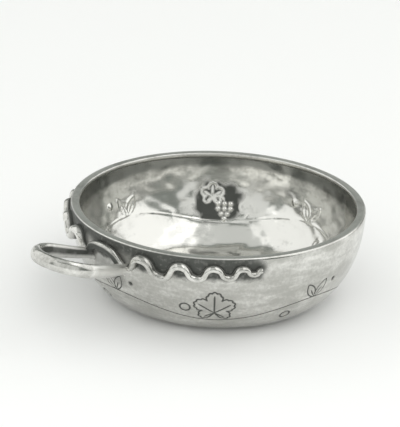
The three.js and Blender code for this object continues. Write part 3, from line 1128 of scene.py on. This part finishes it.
class SilverFinish(Finish):
    """Worn silver: metal under tarnish, polishing lines round the bowl, blackened places, and painted
    shade.
    """

    # Clouds as (size, detail), and uneven places as (size, detail, swing)
    CLOUD = (9 * MM, 5)
    GRAIN = (0.5 * MM, 2)
    WORN_SPOT = (1.1 * MM, 4)
    SPECK = (0.9 * MM, 2, 0.7)
    GROUND_RAGGED = (2.5 * MM, 3, 2.6 * MM)
    END_RAGGED = (4 * MM, 0, 7 * MM)
    # Streaks round the bowl as (length, width, detail)
    SMUDGE = (7 * MM, 2.2 * MM, 5)
    LINE = (9 * MM, 0.22 * MM, 2)
    # How far the film and the polish vary, and how much rougher and less metallic the blackening and the
    # painted shade are
    FILM_SWING = 1.1
    CLOUD_POLISH = 0.12
    LINE_POLISH = 0.1
    OXIDE_POLISH = 0.3
    OXIDE_METAL = 0.7
    # The finest relief: its depth and strength, and the heights of its lines, grain and smudges
    RELIEF = 0.02 * MM
    RELIEF_STRENGTH = 0.2
    LINE_HEIGHT = 0.6
    GRAIN_HEIGHT = 0.5
    SMUDGE_HEIGHT = 2
    # The blackened ground's edges, and those of the painted shade inside the ring, each as the two places
    # between which it fades
    GROUND_LOW = (7.5 * MM, 5.7 * MM)
    GROUND_HIGH = (0.15 * MM, 0.4 * MM)
    GROUND_END = (50.5 * MM, 45 * MM)
    GROUND_SKIN = (-0.6 * MM, -0.4 * MM)
    RING_SIDE = (0, -2 * MM)
    RING_LOW = (15 * MM, 12 * MM)
    RING_FRONT = (0, -10 * MM)
    SOLDERED = (5 * MM, 1.5 * MM)
    SOLDER_RISE = 2 * MM
    # Shares of black that are worn off and cleaned off by solder, and the strength of the painted shade
    # inside the ring
    WORN = 0.15
    SOLDER_CLEAN = 0.5
    RING_SHADE = 0.45
    # The clouds' values between which a worn spot fades
    WORN_FADE = (0.7, 0.5)

    def __init__(self, name, scene):
        self.material = bpy.data.materials.new(name)
        super().__init__(self.material)
        self.look = scene.taster_look
        self.ring = scene.taster_ring
        self.side = WallSide(scene.taster_bowl, 0)
        self.place = self.node("ShaderNodeTexCoord", output="Object")
        parts = self.node("ShaderNodeSeparateXYZ", {}, {"Vector": self.place})
        self.x, self.y, self.z = parts, parts.out("Y"), parts.out("Z")
        self.radius = (self.x * self.x + self.y * self.y) ** 0.5
        self.drop = HEIGHT - self.z
        # This attribute holds the blackening in the bowl's lines and medallion, and painted shade on the
        # ring, arch and wavy wires
        self.worked = self.node("ShaderNodeAttribute", {"attribute_name": "oxide_and_shade"}, output="Fac")

    def texture(self, vector, scale, detail):
        """Soft noise around 0.5."""
        return self.node("ShaderNodeTexNoise", {}, {"Vector": vector, "Scale": scale, "Detail": detail})

    def clouds(self, size, detail):
        """Noise with features of a size in metres."""
        return self.texture(self.place, 1 / size, detail)

    def uneven(self, size, detail, swing):
        """Clouds that swing by an amount, half of it each way."""
        return (self.clouds(size, detail) - 0.5) * swing

    def streaks(self, run, width, detail):
        """Noise that is drawn out round the bowl's axis."""
        parts = {"X": self.x / run, "Y": self.y / run, "Z": (self.radius + self.z) / width}
        return self.texture(self.node("ShaderNodeCombineXYZ", {}, parts), 1, detail)

    def stand_off(self):
        """How far a point stands off the bowl's outer wall, measured level."""
        side = self.side
        across = (1 - (self.drop / side.rise) ** side.bend) ** (1 / side.bend)
        return self.radius - side.base - side.reach * across

    def handle_ground(self):
        """The blackened ground under the rim and beside the ring, and painted shade on the wall inside the
        ring.
        """
        around = abs(self.y.maths("ARCTAN2", 0 - self.y, 0 - self.x)) * RIM_RADIUS
        ragged = self.uneven(*self.GROUND_RAGGED)
        under = self.smooth(self.drop + ragged, *self.GROUND_LOW)
        high = self.smooth(self.drop, *self.GROUND_HIGH)
        end = self.smooth(around + self.uneven(*self.END_RAGGED), *self.GROUND_END)
        outside = self.smooth(self.stand_off(), *self.GROUND_SKIN)
        worn = self.smooth(self.clouds(*self.WORN_SPOT), *self.WORN_FADE) * self.WORN + (1 - self.WORN)
        beside = abs(self.y) - self.ring.spread / 2
        below = self.drop - self.ring.drop + self.SOLDER_RISE
        solder = self.smooth((beside * beside + below * below) ** 0.5 + ragged, *self.SOLDERED)
        # Painted shade on the wall between the ring's ends and below them
        ring_shade = self.smooth(beside, *self.RING_SIDE) * self.smooth(self.drop + ragged, *self.RING_LOW)
        ring_shade = ring_shade * self.smooth(self.x, *self.RING_FRONT)
        black = under * high * end * worn * (1 - solder * self.SOLDER_CLEAN)
        return black.at_least(ring_shade * high * self.RING_SHADE) * outside

    def finished(self, roughness, oxide_and_shade, tarnish, deep=0):
        """Joins everything in one metal shader and returns the material."""
        look = self.look
        clouds = self.clouds(*self.CLOUD)
        smudges = self.streaks(*self.SMUDGE)
        lines = self.streaks(*self.LINE)
        grain = self.clouds(*self.GRAIN)
        mottle = (clouds + smudges - 1) * self.FILM_SWING + self.uneven(*self.SPECK)
        film = self.smooth(tarnish + mottle, 0, 1)
        clean = self.blend(film, rgba(look.silver), rgba(look.tarnish))
        filmed = self.blend(deep, clean, rgba(look.deep_tarnish))
        tint = self.blend(oxide_and_shade, filmed, rgba(look.oxide_and_shade))
        polish = (clouds - 0.5) * self.CLOUD_POLISH + (lines - 0.5) * self.LINE_POLISH
        height = lines * self.LINE_HEIGHT + grain * self.GRAIN_HEIGHT + smudges * self.SMUDGE_HEIGHT
        relief = {"Strength": self.RELIEF_STRENGTH, "Distance": self.RELIEF, "Height": height}
        metal = {
            "Base Color": tint,
            "Metallic": 1 - oxide_and_shade * self.OXIDE_METAL,
            "Roughness": roughness + polish + oxide_and_shade * self.OXIDE_POLISH,
            "Normal": self.node("ShaderNodeBump", {}, relief),
        }
        surface = self.node("ShaderNodeBsdfPrincipled", {}, metal)
        self.node("ShaderNodeOutputMaterial", {}, {"Surface": surface})
        return self.material


# The sheet's films and painted shade: where its outside begins, and the places between which each fades
SHEET_SKIN = (-0.8 * MM, -0.5 * MM)
THIN_LOW = (9.5 * MM, 4 * MM)
THICK_LOW = (5.7 * MM, 4 * MM)
# Where the painted shade outside grows, from the rim downwards
LOWER_SHADE_DROP = (4 * MM, 11 * MM)
# How much lower the films inside reach on the two side walls, square to FRONT, than on the near and far
# ones: painted dark reflection
SIDE_REACH = 2.4 * MM
SIDE_MIDDLE = 0.75
# Strengths of the films and painted shade, their ragged edge as (size, detail, swing), and the thick one's
# share of it
THIN_FILM_AND_REFLECTION = 0.7
THICK_FILM_AND_REFLECTION = 0.9
FILM_RAGGED = (4 * MM, 4, 5 * MM)
THICK_RAGGED = 0.4
# The outside's own film, and the strength of the painted shade low outside
OUTSIDE_FILM = 0.58
LOWER_SHADE_FILM = 0.16


def hammered_silver(scene):
    """The bowl's sheet: dull outside and under the rim, with painted shade low outside and painted dark
    reflection under the rim inside, black in lines and beside the ring.
    """
    finish = SilverFinish("hammered_silver", scene)
    outside = finish.smooth(finish.stand_off(), *SHEET_SKIN)
    inside = 1 - outside
    ragged = finish.uneven(*FILM_RAGGED)
    # The films inside reach lower on the side walls than on the walls along FRONT: painted dark reflection
    ahead = (finish.x * math.cos(FRONT) + finish.y * math.sin(FRONT)) / finish.radius
    drop = finish.drop - (SIDE_MIDDLE - ahead * ahead) * SIDE_REACH
    # The films inside under the rim: partly tarnish, partly painted dark reflection
    thin = finish.smooth(drop + ragged, *THIN_LOW) * inside * THIN_FILM_AND_REFLECTION
    thick = finish.smooth(drop + ragged * THICK_RAGGED, *THICK_LOW) * inside * THICK_FILM_AND_REFLECTION
    # Painted shade: the outside darker towards the bottom, away from the rim
    lower_shade = finish.smooth(finish.drop + ragged, *LOWER_SHADE_DROP) * LOWER_SHADE_FILM
    black = finish.handle_ground().at_least(finish.worked)
    film = outside * (lower_shade + OUTSIDE_FILM) + thin
    return finish.finished(finish.look.bowl_roughness, black, film, thick)


# The rim wire's outer face, as the radii between which it begins, and the film there and on the top
RIM_FACE = (RIM_RADIUS - 0.3 * MM, RIM_RADIUS - 0.1 * MM)
RIM_FACE_FILM = 0.48
RIM_FILM = 0.2


def rim_silver(scene):
    """The rim wire: satin on top, like the bowl outside, and black beside the ring."""
    look = scene.taster_look
    finish = SilverFinish("rim_silver", scene)
    outside = finish.smooth(finish.radius, *RIM_FACE)
    rough = look.rim_roughness + outside * (look.bowl_roughness - look.rim_roughness)
    return finish.finished(rough, finish.handle_ground(), outside * RIM_FACE_FILM + RIM_FILM)


# The ring's necks, satin from the file near the wall and below its upper edge, with their roughness, and
# left without film as a painted highlight
NECK = (17 * MM, 8 * MM)
NECK_TOP = (5.2 * MM, 6.2 * MM)
NECK_ROUGHNESS = 0.3
# The film on the ring and wavy wires, and the share of the ring's and arch's painted shade that comes in
# streaks
RING_FILM = 0.55
WAVE_FILM = 0.52
STREAKED = 0.25
# The streaks' clouds as (size, detail), and the values between which they fade
STREAK_CLOUD = (3.5 * MM, 3)
STREAK_FADE = (0.3, 0.65)


def ring_silver(scene):
    """The ring and the arch: dark with painted shade, satin at the necks, which are left bright as a
    painted highlight.
    """
    finish = SilverFinish("ring_silver", scene)
    # Streaks in the painted shade on the ring and the arch
    streaks = finish.smooth(finish.clouds(*STREAK_CLOUD), *STREAK_FADE) * STREAKED + (1 - STREAKED)
    off_wall = finish.stand_off()
    level_drop = finish.drop + off_wall * math.tan(scene.taster_ring.slope)
    # Satin from the file at the necks, whose film is left off as a painted highlight
    filed_and_painted_highlight = finish.smooth(off_wall, *NECK) * finish.smooth(level_drop, *NECK_TOP)
    rough = finish.look.ring_roughness + filed_and_painted_highlight * NECK_ROUGHNESS
    return finish.finished(rough, finish.worked * streaks, (1 - filed_and_painted_highlight) * RING_FILM)


def wave_silver(scene):
    """The wavy wires: bright faces, and sides darkened down at the wall as painted shade."""
    finish = SilverFinish("wave_silver", scene)
    return finish.finished(finish.look.wave_roughness, finish.worked, WAVE_FILM)


class TASTER_OT_stage(bpy.types.Operator):
    """Sets the floor, the soft studio light and the camera"""

    bl_idname = "taster.make_stage"
    bl_label = "Stage"

    FLOOR = 3
    # The photograph's frame in pixels, the rim's middle in it, and the sensor in millimetres
    FRAME_WIDTH = 400
    FRAME_HEIGHT = 427
    RIM_MIDDLE_PIXEL = (218.35, 202.0)
    SENSOR = 36
    # Soft boxes as (name, bearing from behind to the right, elevation, width, height, brightness)
    BOXES = (
        ("right_box", 82, 41, 1.55, 1.6, 0.9),
        ("left_box", -83, 33, 1.65, 1.28, 0.78),
        ("front_box", -172, 25, 1.5, 0.85, 0.54),
        ("back_box", 0, 16, 1.2, 0.4, 0.16),
        ("low_box", -33, 7, 0.35, 0.24, 0.4),
        ("top_box", 180, 84, 1, 0.9, 0.42),
    )
    # Lamps of the same kind that light the floor and aren't mirrored in the silver
    FILLS = (
        ("back_fill", 0, 25, 1.4, 1.4, 0.37),
        ("right_fill", 135, 50, 1.4, 1.4, 0.25),
        ("front_fill", 180, 25, 1.4, 1.4, 0.97),
    )

    def execute(self, context):
        stage = context.scene.taster_stage
        self.floor(context.scene, stage)
        self.room(context.scene, stage)
        for box in self.BOXES:
            self.soft_box(context.scene, stage, *box)
        for box in self.FILLS:
            self.soft_box(context.scene, stage, *box).visible_glossy = False
        self.camera(context.scene, stage)
        context.scene.view_settings.view_transform = "Standard"
        return {"FINISHED"}

    def floor(self, scene, stage):
        """A wide pale floor under the bowl."""
        bm = bmesh.new()
        bmesh.ops.create_grid(bm, x_segments=1, y_segments=1, size=self.FLOOR)
        mesh = bpy.data.meshes.new("floor")
        bm.to_mesh(mesh)
        bm.free()
        floor = bpy.data.objects.new("floor", mesh)
        scene.collection.objects.link(floor)
        material = bpy.data.materials.new("pale_floor")
        finish = Finish(material)
        paint = finish.node("ShaderNodeBsdfDiffuse", {}, {"Color": rgba(stage.floor)})
        finish.node("ShaderNodeOutputMaterial", {}, {"Surface": paint})
        mesh.materials.append(material)

    def room(self, scene, stage):
        """A dim room all round."""
        scene.world = bpy.data.worlds.new("room")
        finish = Finish(scene.world)
        dim = finish.node("ShaderNodeBackground", {}, {"Color": rgba(stage.walls)})
        finish.node("ShaderNodeOutputWorld", {}, {"Surface": dim})

    def towards(self, turn, lift):
        """The direction at a turn from +Y and a lift above level."""
        return Vector((-math.sin(turn) * math.cos(lift), math.cos(turn) * math.cos(lift), math.sin(lift)))

    def soft_box(self, scene, stage, name, bearing, elevation, width, height, brightness):
        """A lamp a metre off that faces the bowl, placed by how the camera sees it."""
        light = bpy.data.lights.new(name, "AREA")
        light.color = stage.light
        light.shape = "RECTANGLE"
        light.size = width
        light.size_y = height
        light.energy = brightness * math.pi * width * height
        lamp = bpy.data.objects.new(name, light)
        away = self.towards(stage.azimuth - math.radians(bearing), math.radians(elevation))
        lamp.location = away
        lamp.rotation_euler = away.to_track_quat("Z", "Y").to_euler()
        scene.collection.objects.link(lamp)
        return lamp

    def camera(self, scene, stage):
        """The photograph's camera, shifted to put the rim in its place."""
        data = bpy.data.cameras.new("camera")
        data.lens = stage.lens
        data.sensor_width = self.SENSOR
        data.shift_x = (self.FRAME_WIDTH / 2 - self.RIM_MIDDLE_PIXEL[0]) / self.FRAME_HEIGHT
        data.shift_y = (self.RIM_MIDDLE_PIXEL[1] - self.FRAME_HEIGHT / 2) / self.FRAME_HEIGHT
        camera = bpy.data.objects.new("camera", data)
        look = self.towards(stage.azimuth, -stage.elevation)
        camera.location = Vector((0, 0, HEIGHT)) - look * stage.distance
        turn = look.to_track_quat("-Z", "Y").to_matrix() @ Matrix.Rotation(stage.roll, 3, "Z")
        camera.rotation_euler = turn.to_euler()
        scene.collection.objects.link(camera)
        scene.camera = camera


class TASTER_PT_panel(bpy.types.Panel):
    """Lists the pieces of the wine taster"""

    bl_idname = "TASTER_PT_panel"
    bl_label = "Wine Taster"
    bl_space_type = "VIEW_3D"
    bl_region_type = "UI"
    bl_category = "Wine Taster"

    def draw(self, context):
        for operator in OPERATORS:
            self.layout.operator(operator.bl_idname)
        for group in GROUPS:
            box = self.layout.box()
            box.label(text=group)
            settings = getattr(context.scene, group)
            for name in settings.__annotations__:
                box.prop(settings, name)


GROUPS = {
    "taster_bowl": BowlSizes,
    "taster_rim": RimSizes,
    "taster_ring": RingSizes,
    "taster_wave": WaveSizes,
    "taster_look": SilverLook,
    "taster_stage": StageLook,
}
PIECES = (TASTER_OT_bowl, TASTER_OT_rim, TASTER_OT_ring, TASTER_OT_arch, TASTER_OT_waves)
OPERATORS = (*PIECES, TASTER_OT_stage)


def register():
    for name, group in GROUPS.items():
        bpy.utils.register_class(group)
        setattr(bpy.types.Scene, name, bpy.props.PointerProperty(type=group))
    for cls in (*OPERATORS, TASTER_PT_panel):
        bpy.utils.register_class(cls)


def unregister():
    for cls in (TASTER_PT_panel, *reversed(OPERATORS)):
        bpy.utils.unregister_class(cls)
    for name, group in reversed(GROUPS.items()):
        delattr(bpy.types.Scene, name)
        bpy.utils.unregister_class(group)


def main():
    register()
    bpy.ops.taster.make_bowl()
    bpy.ops.taster.make_rim()
    bpy.ops.taster.make_ring()
    bpy.ops.taster.make_arch()
    bpy.ops.taster.make_waves()
    bpy.ops.taster.make_stage()


if __name__ == "__main__":
    main()
